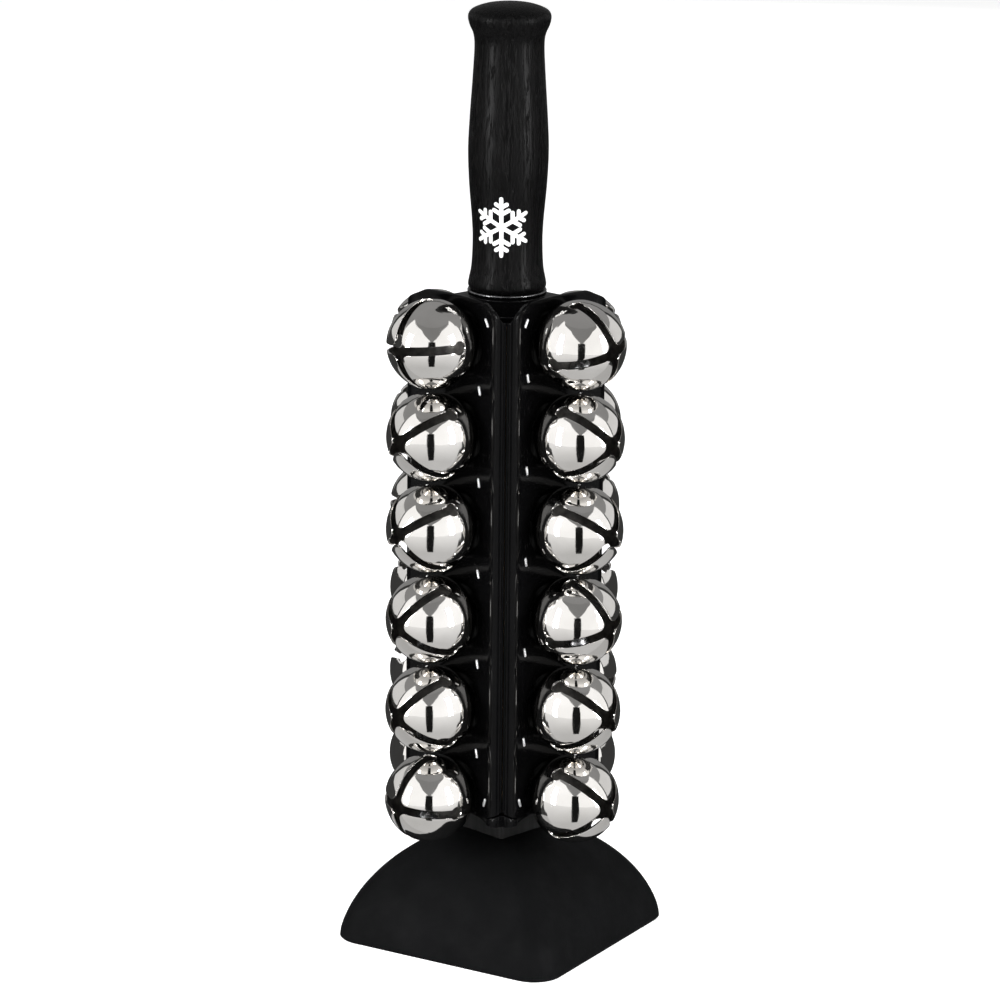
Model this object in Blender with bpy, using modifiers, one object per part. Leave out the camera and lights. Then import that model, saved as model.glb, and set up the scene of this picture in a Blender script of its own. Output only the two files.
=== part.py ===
"""Free-standing hand sleigh bells: a turned wooden handle on a square column of four trough-shaped
panels, each with a column of six round jingle bells, standing on a domed rubber foot.

Metres, +Z up. The origin is the middle of the foot's underside. The column's faces look along -Y
(front), +X (right), +Y (back) and -X (left); the foot is turned a little against them.
"""

import math

import bmesh
import bpy
from mathutils import Matrix

MM = 0.001
GAP = 0.3 * MM  # kept between pieces that touch

# Bells
BELLS_PER_SIDE = 6
BELL_RADIUS = 16.0 * MM
BELL_WALL = 0.9 * MM
BELL_OUT = 38.4 * MM  # from the column's axis to a bell's centre
LOWEST_BELL_Z = 60.0 * MM
BELL_PITCH = 34.3 * MM  # on the front and right sides
REAR_BELL_PITCH = 32.7 * MM  # on the back and left sides, whose bells sit closer together
SLOT_WIDTH = 3.2 * MM
KEYHOLE_RADIUS = 2.9 * MM
KEYHOLE_BACK = 1.2 * MM  # how far in front of the bell's middle the keyholes' centres are
CROSSING_REACH = 3.3 * MM  # from the bell's axis to each petal's blunt tip
STEM_RADIUS = 1.5 * MM
STEM_TAIL_RADIUS = 3.0 * MM
STEM_TAIL_THICK = 1.2 * MM
PELLET_RADIUS = 4.5 * MM
PELLET_LIFT = 1.6 * MM  # clear of the faceted wall that it lies on
BELL_FACETS = (8, 6)  # round the bell, and from front to back

# Each side's bells from the top down: the turn of the cross of slots, in degrees.
SLOT_TURNS = {
    "front": (5, 41, 37, 55, 53, 83),
    "right": (16, 43, 52, 19, 44, 41),
    "back": (48, 12, 39, 50, 7, 35),
    "left": (38, 51, 8, 42, 30, 58),
}

# Column of four trough panels
CORNER_REACH = 36.0 * MM  # from the axis to the corner ridge
RIDGE_HALF_WIDTH = 4.2 * MM
GROOVE_HALF_WIDTH = 1.0 * MM
GROOVE_DEPTH = 1.4 * MM
TROUGH_RADIUS = 71.0 * MM
TROUGH_BOTTOM = 24.8 * MM  # from the axis to the trough's deepest line
TROUGH_HALF_SPAN = 21.0 * MM
TROUGH_STEPS = 6
PANEL_WALL = 5.0 * MM
LIP_THICK = 1.5 * MM  # of the panel's rim round the top cap
LIP_NARROWING = 1.2 * MM  # of the trough at the rim's inner side
WALL_NARROWING = 4.0 * MM  # of the trough at the panel's inner side
POCKET_RADIUS = 11.6 * MM  # at the trough's surface
POCKET_FLOOR_RADIUS = 6.0 * MM
POCKET_FLOOR = 21.2 * MM  # from the axis
PANEL_TOP_Z = 247.4 * MM
PANEL_BOTTOM_Z = 53.5 * MM
CORNER_DROP = 6.0 * MM  # how far the top edge falls, and the lower edge rises, at a corner
CORNER_FALL = 2.5 * MM  # how quickly it does so
COLLAR_Z = 245.2 * MM  # where the cap meets the collar
CAP_CORNER_Z = 241.3 * MM
CAP_BOTTOM_Z = 239.5 * MM

# Plates, post and foot
TENON_RADIUS = 9.0 * MM
TENON_BOTTOM_Z = 200.0 * MM
POST_HALF_WIDTH = 11.5 * MM
PLATE_BOTTOM_Z = 51.3 * MM
PLATE_RISE = 0.72  # of its corners, against the panels'
PLATE_INSET = 2.4 * MM  # of its sides from the panels', to clear the lowest bells
COLLAR_RADIUS = 14.5 * MM
COLLAR_THICK = 0.9 * MM
FOOT_HALF_WIDTH = 47.0 * MM
FOOT_CORNER_RADIUS = 11.0 * MM
FOOT_TURN = math.radians(14)
FOOT_DOME_HEIGHT = 42.5 * MM
FOOT_SEAT_Z = 39.7 * MM
FOOT_DOME_POWER = 1.6
FOOT_RINGS = 9
SCREW_RADIUS = 3.0 * MM
SCREW_HEAD_RADIUS = 5.5 * MM
SCREW_HEAD_THICK = 3.2 * MM
SCREW_LENGTH = 52.0 * MM
SOCKET_RADIUS = 2.5 * MM
WASHER_RADIUS = 9.0 * MM
WASHER_THICK = 1.5 * MM
RECESS_RADIUS = 10.5 * MM
RECESS_DEPTH = 9.0 * MM

# Handle: radius and height of the points that its turned profile passes through, from the pommel down
HANDLE_BOTTOM_Z = 246.7 * MM
HANDLE_TOP_Z = 351.0 * MM
HANDLE_PROFILE = (
    (6.5, 350.6),
    (11.5, 349.0),
    (14.4, 347.3),
    (15.0, 345.6),
    (14.5, 343.2),
    (13.0, 339.6),
    (12.6, 335.0),
    (13.1, 325.0),
    (14.2, 308.0),
    (14.6, 297.0),
    (14.2, 285.0),
    (13.0, 272.0),
    (12.7, 264.0),
    (13.1, 254.5),
    (14.1, 248.4),
)
HANDLE_STEPS = 18

SIDES = ("front", "right", "back", "left")


def clear_scene():
    for thing in list(bpy.data.objects):
        bpy.data.objects.remove(thing, do_unlink=True)


def new_collection(name):
    collection = bpy.data.collections.new(name)
    bpy.context.scene.collection.children.link(collection)
    return collection


def new_material(name, color, roughness, metallic=0.0):
    material = bpy.data.materials.new(name)
    material.use_nodes = True
    shader = material.node_tree.nodes["Principled BSDF"]
    shader.inputs["Base Color"].default_value = (*color, 1.0)
    shader.inputs["Roughness"].default_value = roughness
    shader.inputs["Metallic"].default_value = metallic
    return material


def new_object(name, mesh, collection, material=None, parent=None):
    thing = bpy.data.objects.new(name, mesh)
    collection.objects.link(thing)
    if material and not mesh.materials:
        mesh.materials.append(material)
    thing.parent = parent
    return thing


def new_cutter(name, mesh):
    cutter = new_object(name, mesh, cutters)
    cutter.hide_render = True
    cutter.display_type = "WIRE"
    return cutter


def mesh_from(name, bm):
    bmesh.ops.recalc_face_normals(bm, faces=bm.faces)
    mesh = bpy.data.meshes.new(name)
    bm.to_mesh(mesh)
    bm.free()
    return mesh


def smooth(mesh, degrees=35):
    mesh.shade_smooth()
    mesh.set_sharp_from_angle(angle=math.radians(degrees))


def cone_mesh(name, bottom_radius, top_radius, bottom, top, segments):
    """A blunt cone along Z from bottom to top."""
    bm = bmesh.new()
    bmesh.ops.create_cone(
        bm,
        cap_ends=True,
        segments=segments,
        radius1=bottom_radius,
        radius2=top_radius,
        depth=top - bottom,
        matrix=Matrix.Translation((0, 0, (top + bottom) / 2)),
    )
    return mesh_from(name, bm)


def cylinder_mesh(name, radius, bottom, top, segments=16):
    return cone_mesh(name, radius, radius, bottom, top, segments)


def tube_mesh(name, outer, inner, bottom, top, segments=20):
    """A flat ring along Z, as rings of points joined round a rectangular section."""
    section = ((outer, bottom), (outer, top), (inner, top), (inner, bottom))
    angles = [2 * math.pi * i / segments for i in range(segments)]
    rings = [[(r * math.cos(a), r * math.sin(a), z) for a in angles] for r, z in section]
    return loft_mesh(name, rings, closed=True)


def loft_mesh(name, rings, closed=False):
    """Rings of equally many points, joined one to the next; the ends are capped, or joined if closed."""
    bm = bmesh.new()
    loops = [[bm.verts.new(point) for point in ring] for ring in rings]
    pairs = list(zip(loops, loops[1:]))
    if closed:
        pairs.append((loops[-1], loops[0]))
    for low, high in pairs:
        for i in range(len(low)):
            j = (i + 1) % len(low)
            bm.faces.new((low[i], low[j], high[j], high[i]))
    if not closed:
        bm.faces.new(loops[0])
        bm.faces.new(loops[-1])
    return mesh_from(name, bm)


def cut(thing, cutter, operation="DIFFERENCE"):
    modifier = thing.modifiers.new("Cut " + cutter.name, "BOOLEAN")
    modifier.operation = operation
    modifier.object = cutter
    modifier.solver = "EXACT"


def settled_mesh(thing, name):
    """The mesh that the object has once its modifiers are applied."""
    bpy.context.view_layer.update()
    graph = bpy.context.evaluated_depsgraph_get()
    mesh = bpy.data.meshes.new_from_object(thing.evaluated_get(graph))
    mesh.name = name
    return mesh


def bell_z(side, place):
    """Height of a bell's centre; place 1 is the top one."""
    pitch = BELL_PITCH if side in ("front", "right") else REAR_BELL_PITCH
    return LOWEST_BELL_Z + (BELLS_PER_SIDE - place) * pitch


# ---------------------------------------------------------------- column


def cap_height(reach):
    """Height of the coned top cap at a distance from the axis."""
    slope = (COLLAR_Z - CAP_CORNER_Z) / (CORNER_REACH - COLLAR_RADIUS)
    return CAP_CORNER_Z + (CORNER_REACH - reach) * slope


def corner_drop(across, out):
    """How far a panel's top edge has fallen at a point: most at the groove, soon nothing beyond the ridge."""
    aside = max((out - across) / math.sqrt(2) - GROOVE_HALF_WIDTH, 0.0)
    return CORNER_DROP * math.exp(-aside / CORNER_FALL)


def by_corner(reach, aside):
    """(across, out) on a face of a point near its right corner: reach along the diagonal, aside off it."""
    root = math.sqrt(2)
    return (reach - aside) / root, (reach + aside) / root


def trough_half(depth, span):
    """The trough from its middle to the right, at a depth below its surface."""
    points = []
    for step in range(TROUGH_STEPS // 2 + 1):
        across = 2 * step / TROUGH_STEPS * span
        out = TROUGH_BOTTOM + TROUGH_RADIUS - math.sqrt((TROUGH_RADIUS + depth) ** 2 - across**2)
        points.append((across, out))
    return points


def outer_half(depth=0.0):
    """A panel's outer surface from the middle of its face to the mitre: trough, ridge strip, groove."""
    groove_floor = CORNER_REACH - GROOVE_DEPTH
    corner = (
        (CORNER_REACH - 0.4 * MM, RIDGE_HALF_WIDTH),
        (CORNER_REACH, RIDGE_HALF_WIDTH - 0.7 * MM),
        (CORNER_REACH, GROOVE_HALF_WIDTH),
        (groove_floor, GROOVE_HALF_WIDTH),
        (groove_floor, GAP / 2),
    )
    span = TROUGH_HALF_SPAN - 0.6 * depth
    return trough_half(depth, span) + [by_corner(*point) for point in corner]


def inner_half(depth, narrower, gap=0.0):
    """A surface inside the outer one, with as many points: the trough at a depth, then on to the mitre."""
    points = trough_half(depth, TROUGH_HALF_SPAN - narrower)
    across, out = points[-1]
    reach = (across + out) / math.sqrt(2)
    aside = (out - across) / math.sqrt(2)
    for step in range(1, 6):
        left = 1 - step / 5
        points.append(by_corner(reach, GAP / 2 + gap + left * (aside - GAP / 2 - gap)))
    return points


def panel_mesh():
    """One panel in its face's frame: X across, Y up, Z out. A step inside its top rim carries the cap."""
    outer = outer_half()
    lip = inner_half(LIP_THICK, LIP_NARROWING)
    inner = inner_half(PANEL_WALL, WALL_NARROWING)
    rings = []
    for k in list(range(len(outer) - 1, 0, -1)) + list(range(len(outer))):
        mirror = -1 if len(rings) < len(outer) - 1 else 1
        drop = corner_drop(*outer[k])
        section = (
            (outer[k], PANEL_BOTTOM_Z + drop),
            (outer[k], PANEL_TOP_Z - drop),
            (lip[k], PANEL_TOP_Z - drop),
            (lip[k], CAP_BOTTOM_Z - GAP),
            (inner[k], CAP_BOTTOM_Z - GAP),
            (inner[k], PANEL_BOTTOM_Z + drop),
        )
        rings.append([(mirror * across, height, out) for (across, out), height in section])
    return loft_mesh("side_panel", rings)


def cut_panel_mesh(side):
    """A side's panel with a coned round pocket and a rivet hole behind each bell."""
    blank = new_object("panel_blank", panel_mesh(), cutters)
    blank.hide_render = True
    # The cone goes on widening to well above the trough's surface.
    beyond = 2.0 * MM
    widening = (POCKET_RADIUS - POCKET_FLOOR_RADIUS) / (TROUGH_BOTTOM - POCKET_FLOOR)
    mouth_radius = POCKET_RADIUS + widening * beyond
    pocket = cone_mesh("pocket", POCKET_FLOOR_RADIUS, mouth_radius, POCKET_FLOOR, TROUGH_BOTTOM + beyond, 8)
    hole_bottom = TROUGH_BOTTOM - 1.5 * PANEL_WALL
    hole = cylinder_mesh("rivet_hole", STEM_RADIUS + GAP, hole_bottom, BELL_OUT, 6)
    for place in range(1, BELLS_PER_SIDE + 1):
        for name, mesh in (("pocket", pocket), ("rivet_hole", hole)):
            cutter = new_cutter(f"{name}_{side}_{place}", mesh)
            cutter.location.y = bell_z(side, place)
            cut(blank, cutter)
    mesh = settled_mesh(blank, f"side_panel_{side}")
    bpy.data.objects.remove(blank)
    smooth(mesh)
    return mesh


def face_outline(points_of_half):
    """The whole column's outline in plan, from one face's half outline of (across, out) points."""
    half = points_of_half
    whole = [(-a, b) for a, b in reversed(half[1:])] + half
    outline = []
    for turn in range(4):
        angle = turn * math.pi / 2
        for across, out in whole:
            # The face that looks along -Y, turned about Z a quarter at a time.
            x = across * math.cos(angle) + out * math.sin(angle)
            y = across * math.sin(angle) - out * math.cos(angle)
            outline.append((x, y))
    return outline


def add_top_cap():
    """A coned plate let in between the panels' top rims, with a round hole for the tenon."""
    outline = face_outline(inner_half(LIP_THICK + GAP, LIP_NARROWING, gap=2 * GAP))
    hole = TENON_RADIUS + GAP
    rings = [[], [], [], [], []]
    for x, y in outline:
        reach = math.hypot(x, y)
        rings[0].append((x, y, CAP_BOTTOM_Z))
        rings[1].append((x, y, cap_height(reach)))
        rings[2].append((x / reach * COLLAR_RADIUS, y / reach * COLLAR_RADIUS, COLLAR_Z))
        rings[3].append((x / reach * hole, y / reach * hole, COLLAR_Z))
        rings[4].append((x / reach * hole, y / reach * hole, CAP_BOTTOM_Z))
    mesh = loft_mesh("top_cap", rings, closed=True)
    smooth(mesh, 20)
    return new_object("top_cap", mesh, parts, gloss_black)


def add_bottom_plate():
    """The plate under the panels: its corners rise to meet theirs, and its square hole takes the post."""
    outer = outer_half(PLATE_INSET)[:-2]
    inner = inner_half(PANEL_WALL, WALL_NARROWING)[:-2]
    heights = [PANEL_BOTTOM_Z + PLATE_RISE * corner_drop(*point) - 2 * GAP for point in outer_half()[:-2]]
    heights = (heights[:0:-1] + heights) * 4
    hole = POST_HALF_WIDTH + GAP
    rings = [[], [], [], [], []]
    for (x, y), (inner_x, inner_y), height in zip(face_outline(outer), face_outline(inner), heights):
        scale = hole / max(abs(x), abs(y))
        rings[0].append((x, y, PLATE_BOTTOM_Z))
        rings[1].append((x, y, height))
        rings[2].append((inner_x, inner_y, height))
        rings[3].append((x * scale, y * scale, PANEL_BOTTOM_Z - 2 * GAP))
        rings[4].append((x * scale, y * scale, PLATE_BOTTOM_Z))
    mesh = loft_mesh("bottom_plate", rings, closed=True)
    smooth(mesh, 20)
    return new_object("bottom_plate", mesh, parts, gloss_black)


def add_core_post():
    """A square wooden post, bored for the handle's tenon and for the foot's screw."""
    bottom = FOOT_SEAT_Z + GAP
    top = CAP_BOTTOM_Z - GAP
    bm = bmesh.new()
    size = Matrix.Diagonal((2 * POST_HALF_WIDTH, 2 * POST_HALF_WIDTH, top - bottom, 1))
    bmesh.ops.create_cube(bm, size=1, matrix=Matrix.Translation((0, 0, (top + bottom) / 2)) @ size)
    post = new_object("core_post", mesh_from("core_post", bm), parts, bare_wood)
    bore = cylinder_mesh("tenon_bore", TENON_RADIUS + GAP, TENON_BOTTOM_Z - GAP, top + MM, 18)
    cut(post, new_cutter("tenon_bore", bore))
    pilot_top = RECESS_DEPTH + SCREW_LENGTH
    pilot = cylinder_mesh("screw_pilot", SCREW_RADIUS + GAP, bottom - MM, pilot_top, 12)
    cut(post, new_cutter("screw_pilot", pilot))
    return post


# ---------------------------------------------------------------- handle


def add_handle():
    """The turned grip with its tenon: one profile from the pommel down, spun round the axis."""
    profile = [(0.0, HANDLE_TOP_Z)]
    profile += [(radius * MM, height * MM) for radius, height in HANDLE_PROFILE]
    profile += [
        (COLLAR_RADIUS - 0.6 * MM, HANDLE_BOTTOM_Z),
        (TENON_RADIUS, HANDLE_BOTTOM_Z),
        (TENON_RADIUS, TENON_BOTTOM_Z),
        (0.0, TENON_BOTTOM_Z),
    ]
    bm = bmesh.new()
    points = [bm.verts.new((radius, 0, height)) for radius, height in profile]
    for start, end in zip(points, points[1:]):
        bm.edges.new((start, end))
    mesh = bpy.data.meshes.new("handle_grip")
    bm.to_mesh(mesh)
    bm.free()
    handle = new_object("handle_grip", mesh, parts, black_wood)
    spin = handle.modifiers.new("Spin", "SCREW")
    spin.axis = "Z"
    spin.angle = 2 * math.pi
    spin.steps = HANDLE_STEPS
    spin.render_steps = HANDLE_STEPS
    spin.use_merge_vertices = True
    spin.merge_threshold = 0.00005
    spin.use_smooth_shade = True
    return handle


def add_collar_ring():
    bottom = COLLAR_Z + GAP
    mesh = tube_mesh("collar_ring", COLLAR_RADIUS, TENON_RADIUS + GAP, bottom, bottom + COLLAR_THICK)
    smooth(mesh)
    return new_object("collar_ring", mesh, parts, dark_metal)


# ---------------------------------------------------------------- foot


def rounded_square(half, corner, steps=3):
    """Points round a square with rounded corners, in plan."""
    points = []
    for quarter in range(4):
        start = quarter * math.pi / 2
        middle = half - corner
        for step in range(steps + 1):
            angle = start + step / steps * math.pi / 2
            shift_x = middle * (1 if quarter in (0, 3) else -1)
            shift_y = middle * (1 if quarter in (0, 1) else -1)
            points.append((shift_x + corner * math.cos(angle), shift_y + corner * math.sin(angle)))
    return points


def add_foot():
    """A domed square foot, with a recess below for the screw's head and a hole up to its seat."""
    rings = []
    for ring in range(FOOT_RINGS + 1):
        # Rings lie closer together towards the top, where the dome turns over.
        height = FOOT_SEAT_Z * math.sin(ring / FOOT_RINGS * math.pi / 2)
        scale = math.sqrt(1 - (height / FOOT_DOME_HEIGHT) ** FOOT_DOME_POWER)
        outline = rounded_square(FOOT_HALF_WIDTH * scale, FOOT_CORNER_RADIUS * scale)
        rings.append([(x, y, height) for x, y in outline])
    mesh = loft_mesh("foot", rings)
    smooth(mesh, 40)
    foot = new_object("foot", mesh, parts, matte_rubber)
    foot.rotation_euler.z = FOOT_TURN
    recess = cylinder_mesh("foot_recess", RECESS_RADIUS, -MM, RECESS_DEPTH, 24)
    cut(foot, new_cutter("foot_recess", recess))
    hole = cylinder_mesh("foot_hole", SCREW_RADIUS + GAP, -MM, FOOT_SEAT_Z + MM, 12)
    cut(foot, new_cutter("foot_hole", hole))
    return foot


def add_foot_fastening():
    """A washer against the recess's roof, and a pan-head screw up into the post."""
    washer_top = RECESS_DEPTH - GAP
    washer_bottom = washer_top - WASHER_THICK
    hole = SCREW_RADIUS + GAP
    washer_mesh = tube_mesh("foot_washer", WASHER_RADIUS, hole, washer_bottom, washer_top)
    smooth(washer_mesh)
    new_object("foot_washer", washer_mesh, parts, steel)
    head_top = washer_bottom - GAP
    head = cylinder_mesh("screw_head", SCREW_HEAD_RADIUS, head_top - SCREW_HEAD_THICK, head_top, 20)
    screw = new_object("foot_screw", head, parts, steel)
    shank = cylinder_mesh("screw_shank", SCREW_RADIUS, head_top - MM, head_top + SCREW_LENGTH, 12)
    cut(screw, new_cutter("screw_shank", shank), "UNION")
    socket = cylinder_mesh("screw_socket", SOCKET_RADIUS, 0.0, head_top - SCREW_HEAD_THICK / 2, 6)
    cut(screw, new_cutter("screw_socket", socket))
    return screw


# ---------------------------------------------------------------- bells


def sphere_mesh(name, radius, segments, rings):
    bm = bmesh.new()
    bmesh.ops.create_uvsphere(bm, u_segments=segments, v_segments=rings, radius=radius)
    return mesh_from(name, bm)


def slot_mesh(name, along_x):
    """A slab that cuts one slot across the front half of a bell."""
    long = 2.4 * BELL_RADIUS
    wide = SLOT_WIDTH
    size = (long, wide) if along_x else (wide, long)
    top = 1.2 * BELL_RADIUS
    bm = bmesh.new()
    place = Matrix.Translation((0, 0, (KEYHOLE_BACK + top) / 2))
    scale = Matrix.Diagonal((*size, top - KEYHOLE_BACK, 1))
    bmesh.ops.create_cube(bm, size=1, matrix=place @ scale)
    return mesh_from(name, bm)


def bell_mesh():
    """A hollow ball, Z out of the column: slots and keyholes in front, a riveted stem behind."""
    blank = new_object("bell_blank", sphere_mesh("bell_blank", BELL_RADIUS, *BELL_FACETS), cutters)
    blank.hide_render = True
    tail = TROUGH_BOTTOM - PANEL_WALL - GAP - BELL_OUT
    back = -BELL_RADIUS + BELL_WALL / 2
    stem = cylinder_mesh("bell_stem", STEM_RADIUS, tail - STEM_TAIL_THICK / 2, back, 6)
    cut(blank, new_cutter("bell_stem", stem), "UNION")
    rolled = cylinder_mesh("bell_tail", STEM_TAIL_RADIUS, tail - STEM_TAIL_THICK, tail, 8)
    cut(blank, new_cutter("bell_tail", rolled), "UNION")
    hollow = sphere_mesh("bell_hollow", BELL_RADIUS - BELL_WALL, *BELL_FACETS)
    cut(blank, new_cutter("bell_hollow", hollow))
    cut(blank, new_cutter("bell_slot_x", slot_mesh("bell_slot_x", True)))
    cut(blank, new_cutter("bell_slot_y", slot_mesh("bell_slot_y", False)))
    corner = CROSSING_REACH * math.sqrt(2)
    crossing = cylinder_mesh("bell_crossing", corner, 0.5 * BELL_RADIUS, 1.2 * BELL_RADIUS, 4)
    cut(blank, new_cutter("bell_crossing", crossing))
    reach = 1.2 * BELL_RADIUS
    keyhole = cylinder_mesh("bell_keyholes", KEYHOLE_RADIUS, -reach, reach, 6)
    for turn, name in ((0.0, "bell_keyholes_x"), (math.pi / 2, "bell_keyholes_y")):
        cutter = new_cutter(name, keyhole)
        cutter.rotation_euler = (math.pi / 2, 0, turn)
        cutter.location.z = KEYHOLE_BACK
        cut(blank, cutter)
    mesh = settled_mesh(blank, "bell")
    bpy.data.objects.remove(blank)
    smooth(mesh, 40)
    return mesh


def pellet_mesh():
    bm = bmesh.new()
    bmesh.ops.create_icosphere(bm, subdivisions=2, radius=PELLET_RADIUS)
    mesh = mesh_from("pellet", bm)
    smooth(mesh, 60)
    return mesh


def add_bell(side, place, face):
    """One bell in its place on a face, and the loose pellet lying in it."""
    bell = new_object(f"bell_{side}_{place}", shared_bell, parts, nickel, face)
    bell.location = (0, bell_z(side, place), BELL_OUT)
    bell.rotation_euler.z = math.radians(SLOT_TURNS[side][place - 1])
    pellet = new_object(f"pellet_{side}_{place}", shared_pellet, parts, steel, face)
    drop = BELL_RADIUS - BELL_WALL - PELLET_RADIUS - PELLET_LIFT
    pellet.location = (0, bell_z(side, place) - drop, BELL_OUT)


def add_face(index, side):
    """An empty whose X runs across a face, Y up and Z out of it."""
    face = bpy.data.objects.new(f"face_{side}", None)
    parts.objects.link(face)
    face.matrix_world = Matrix.Rotation(index * math.pi / 2, 4, "Z") @ Matrix.Rotation(math.pi / 2, 4, "X")
    return face


clear_scene()
parts = new_collection("sleigh_bells")
cutters = new_collection("cutters")

gloss_black = new_material("gloss_black", (0.006, 0.006, 0.007), 0.15)
black_wood = new_material("black_wood", (0.012, 0.011, 0.011), 0.38)
bare_wood = new_material("bare_wood", (0.45, 0.29, 0.16), 0.6)
matte_rubber = new_material("matte_rubber", (0.011, 0.012, 0.013), 0.8)
nickel = new_material("nickel", (0.78, 0.76, 0.73), 0.06, 1.0)
steel = new_material("steel", (0.5, 0.5, 0.5), 0.3, 1.0)
dark_metal = new_material("dark_metal", (0.05, 0.05, 0.05), 0.3, 1.0)

add_handle()
add_collar_ring()
add_top_cap()
add_core_post()
add_bottom_plate()
add_foot()
add_foot_fastening()

shared_bell = bell_mesh()
shared_pellet = pellet_mesh()
for number, side_name in enumerate(SIDES):
    face_empty = add_face(number, side_name)
    panel = cut_panel_mesh(side_name)
    new_object(f"side_panel_{side_name}", panel, parts, gloss_black, face_empty)
    for bell_place in range(1, BELLS_PER_SIDE + 1):
        add_bell(side_name, bell_place, face_empty)
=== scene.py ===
"""Looks of the free-standing sleigh bells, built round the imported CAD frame. Lengths are in metres."""

import math

import bmesh
import bpy
from mathutils import Matrix, Vector, noise


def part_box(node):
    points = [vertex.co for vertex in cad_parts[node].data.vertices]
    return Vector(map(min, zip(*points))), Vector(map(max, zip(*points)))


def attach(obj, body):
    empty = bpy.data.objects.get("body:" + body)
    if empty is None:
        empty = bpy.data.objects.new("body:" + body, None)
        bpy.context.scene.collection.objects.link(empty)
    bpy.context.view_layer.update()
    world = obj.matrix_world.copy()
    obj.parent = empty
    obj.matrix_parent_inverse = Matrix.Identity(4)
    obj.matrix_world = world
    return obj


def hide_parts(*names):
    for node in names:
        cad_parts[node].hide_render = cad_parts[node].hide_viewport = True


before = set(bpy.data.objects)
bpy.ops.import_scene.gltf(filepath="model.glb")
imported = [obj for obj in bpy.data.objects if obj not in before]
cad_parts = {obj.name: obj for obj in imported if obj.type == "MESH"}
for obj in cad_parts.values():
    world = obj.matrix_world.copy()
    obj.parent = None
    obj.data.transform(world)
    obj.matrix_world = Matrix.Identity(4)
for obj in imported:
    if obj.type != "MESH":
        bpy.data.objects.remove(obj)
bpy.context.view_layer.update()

MM = 0.001
WELD = 1e-7
GAP = 0.3 * MM
SIDES = ("front", "right", "back", "left")
PLACES = range(1, 7)

# The turn of each bell's cross of slots, in degrees, from the top down.
SLOT_TURNS = {
    "front": (5, 41, 37, 55, 53, 83),
    "right": (16, 43, 52, 19, 44, 41),
    "back": (48, 12, 39, 50, 7, 35),
    "left": (38, 51, 8, 42, 30, 58),
}

# Bells
BELL_RADIUS = 16.45 * MM
FRAME_BELL_RADIUS = 16.0 * MM
FRAME_BELL_CUT = 0.35 * MM  # what the crossing of the slots takes off the frame's ball at its outermost point
REAR_BELL_SCALE = 0.985  # the rear bells sit closer together
BELL_WALL = 0.7 * MM
SLOT_WIDTH = 3.2 * MM
KEYHOLE_RADIUS = 2.6 * MM
KEYHOLE_ANGLE = math.radians(84)  # from the bell's outward axis
TIP_ROUNDING = 2.6 * MM
FRONT_RISE = 0.45 * MM  # the ball is drawn out this far at the crossing of the slots
FRONT_RISE_SPREAD = math.radians(24)
PETAL_FLATTENING = 0.16 * MM
DIMPLE_DEPTH = 0.22 * MM  # the dent behind each keyhole
DIMPLE_SPREAD = 2.6 * MM
DIMPLE_ANGLE = 1.68  # radians from the crossing, just behind the keyhole
LARGE_DENTS = 0.07 * MM
SMALL_DENTS = 0.02 * MM
EDGE_ROWS = 12
KEYHOLE_ROWS = 5
PETAL_COLUMNS = 16
GAP_COLUMNS = 8
BELT_ROWS = 4
BACK_ROWS = 12

# Column
CORNER_REACH = 36.0 * MM
CORNER_DROP = 6.2 * MM
CORNER_SPAN = 7.5 * MM
REAR_DROP = 8.0 * MM  # how much lower the column's rim stands at the back
REAR_SPAN = 14.0 * MM
LOW_CORNER_RISE = 0.5  # the corners' rise at the bottom, as a share of their drop at the top
FORWARD = Vector((math.sqrt(0.5), -math.sqrt(0.5), 0.0))  # from the middle towards the corner in front
RELIEF_FADE = 3.5 * MM
GROOVE_HALF_WIDTH = 1.0 * MM
GROOVE_DEPTH = 1.4 * MM
TROUGH_RADIUS = 71.0 * MM
TROUGH_BOTTOM = 24.8 * MM
TROUGH_HALF_SPAN = 19.6 * MM
CUP_RADIUS = 17.9 * MM
CUP_BLEND = 0.6 * MM
END_ROLL = 0.5 * MM
END_ROLL_SPREAD = 1.8 * MM
PANEL_SKIN = 1.5 * MM
# The pins are bright marks set where highlights show on the gloss moulding: painted highlights.
HIGHLIGHT_PIN_LENGTH = 3.7 * MM
HIGHLIGHT_PIN_WIDTH = 1.3 * MM
CAP_CORNER_Z = 241.3 * MM
BOSS_RADIUS = 14.5 * MM  # the raised ring round the top cap's hole
TENON_RADIUS = 9.0 * MM
SCREW_BORE = 3.3 * MM

# Foot
FOOT_TURN = math.radians(14)
FOOT_HALF = 47.0 * MM
FOOT_CORNER = 11.0 * MM
FOOT_DOME = 42.5 * MM  # the height at which the dome would close
FOOT_BORE = 3.4 * MM
WASHER_POCKET = 10.5 * MM
WASHER_POCKET_TOP = 9.0 * MM

# Studio: brightness, where 1 is white
ROOM_GREY = 0.045
SOFTBOX_GLOW = 1.25
CORE_GLOW = 20.0
SIDE_GLOW = 0.8
SWEEP_GLOW = 1.05
CEILING_GLOW = 0.3
BACKDROP_GLOW = 0.25
FLOOR_GLOW = 0.72

# Camera
CAMERA_AZIMUTH = math.radians(45)
CAMERA_AWAY = 1.603
CAMERA_HEIGHT = 0.599
CAMERA_LENS = 162.2
CAMERA_DIP = math.radians(15.1)
CAMERA_YAW = math.radians(0.065)
CAMERA_ROLL = math.radians(0.56)

# Handle: (radius, height) in millimetres of the points that its turned profile passes through
HANDLE_PROFILE = (
    (13.4, 246.7),
    (14.0, 247.3),
    (14.2, 249.0),
    (13.1, 255.0),
    (12.7, 264.0),
    (13.0, 272.0),
    (14.1, 285.0),
    (14.6, 297.0),
    (14.2, 308.0),
    (13.1, 325.0),
    (12.6, 335.0),
    (13.0, 339.6),
    (14.4, 343.0),
    (15.0, 345.6),
    (14.6, 347.4),
    (13.0, 348.8),
    (9.0, 350.2),
    (4.0, 350.9),
    (0.0, 351.0),
)


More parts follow.
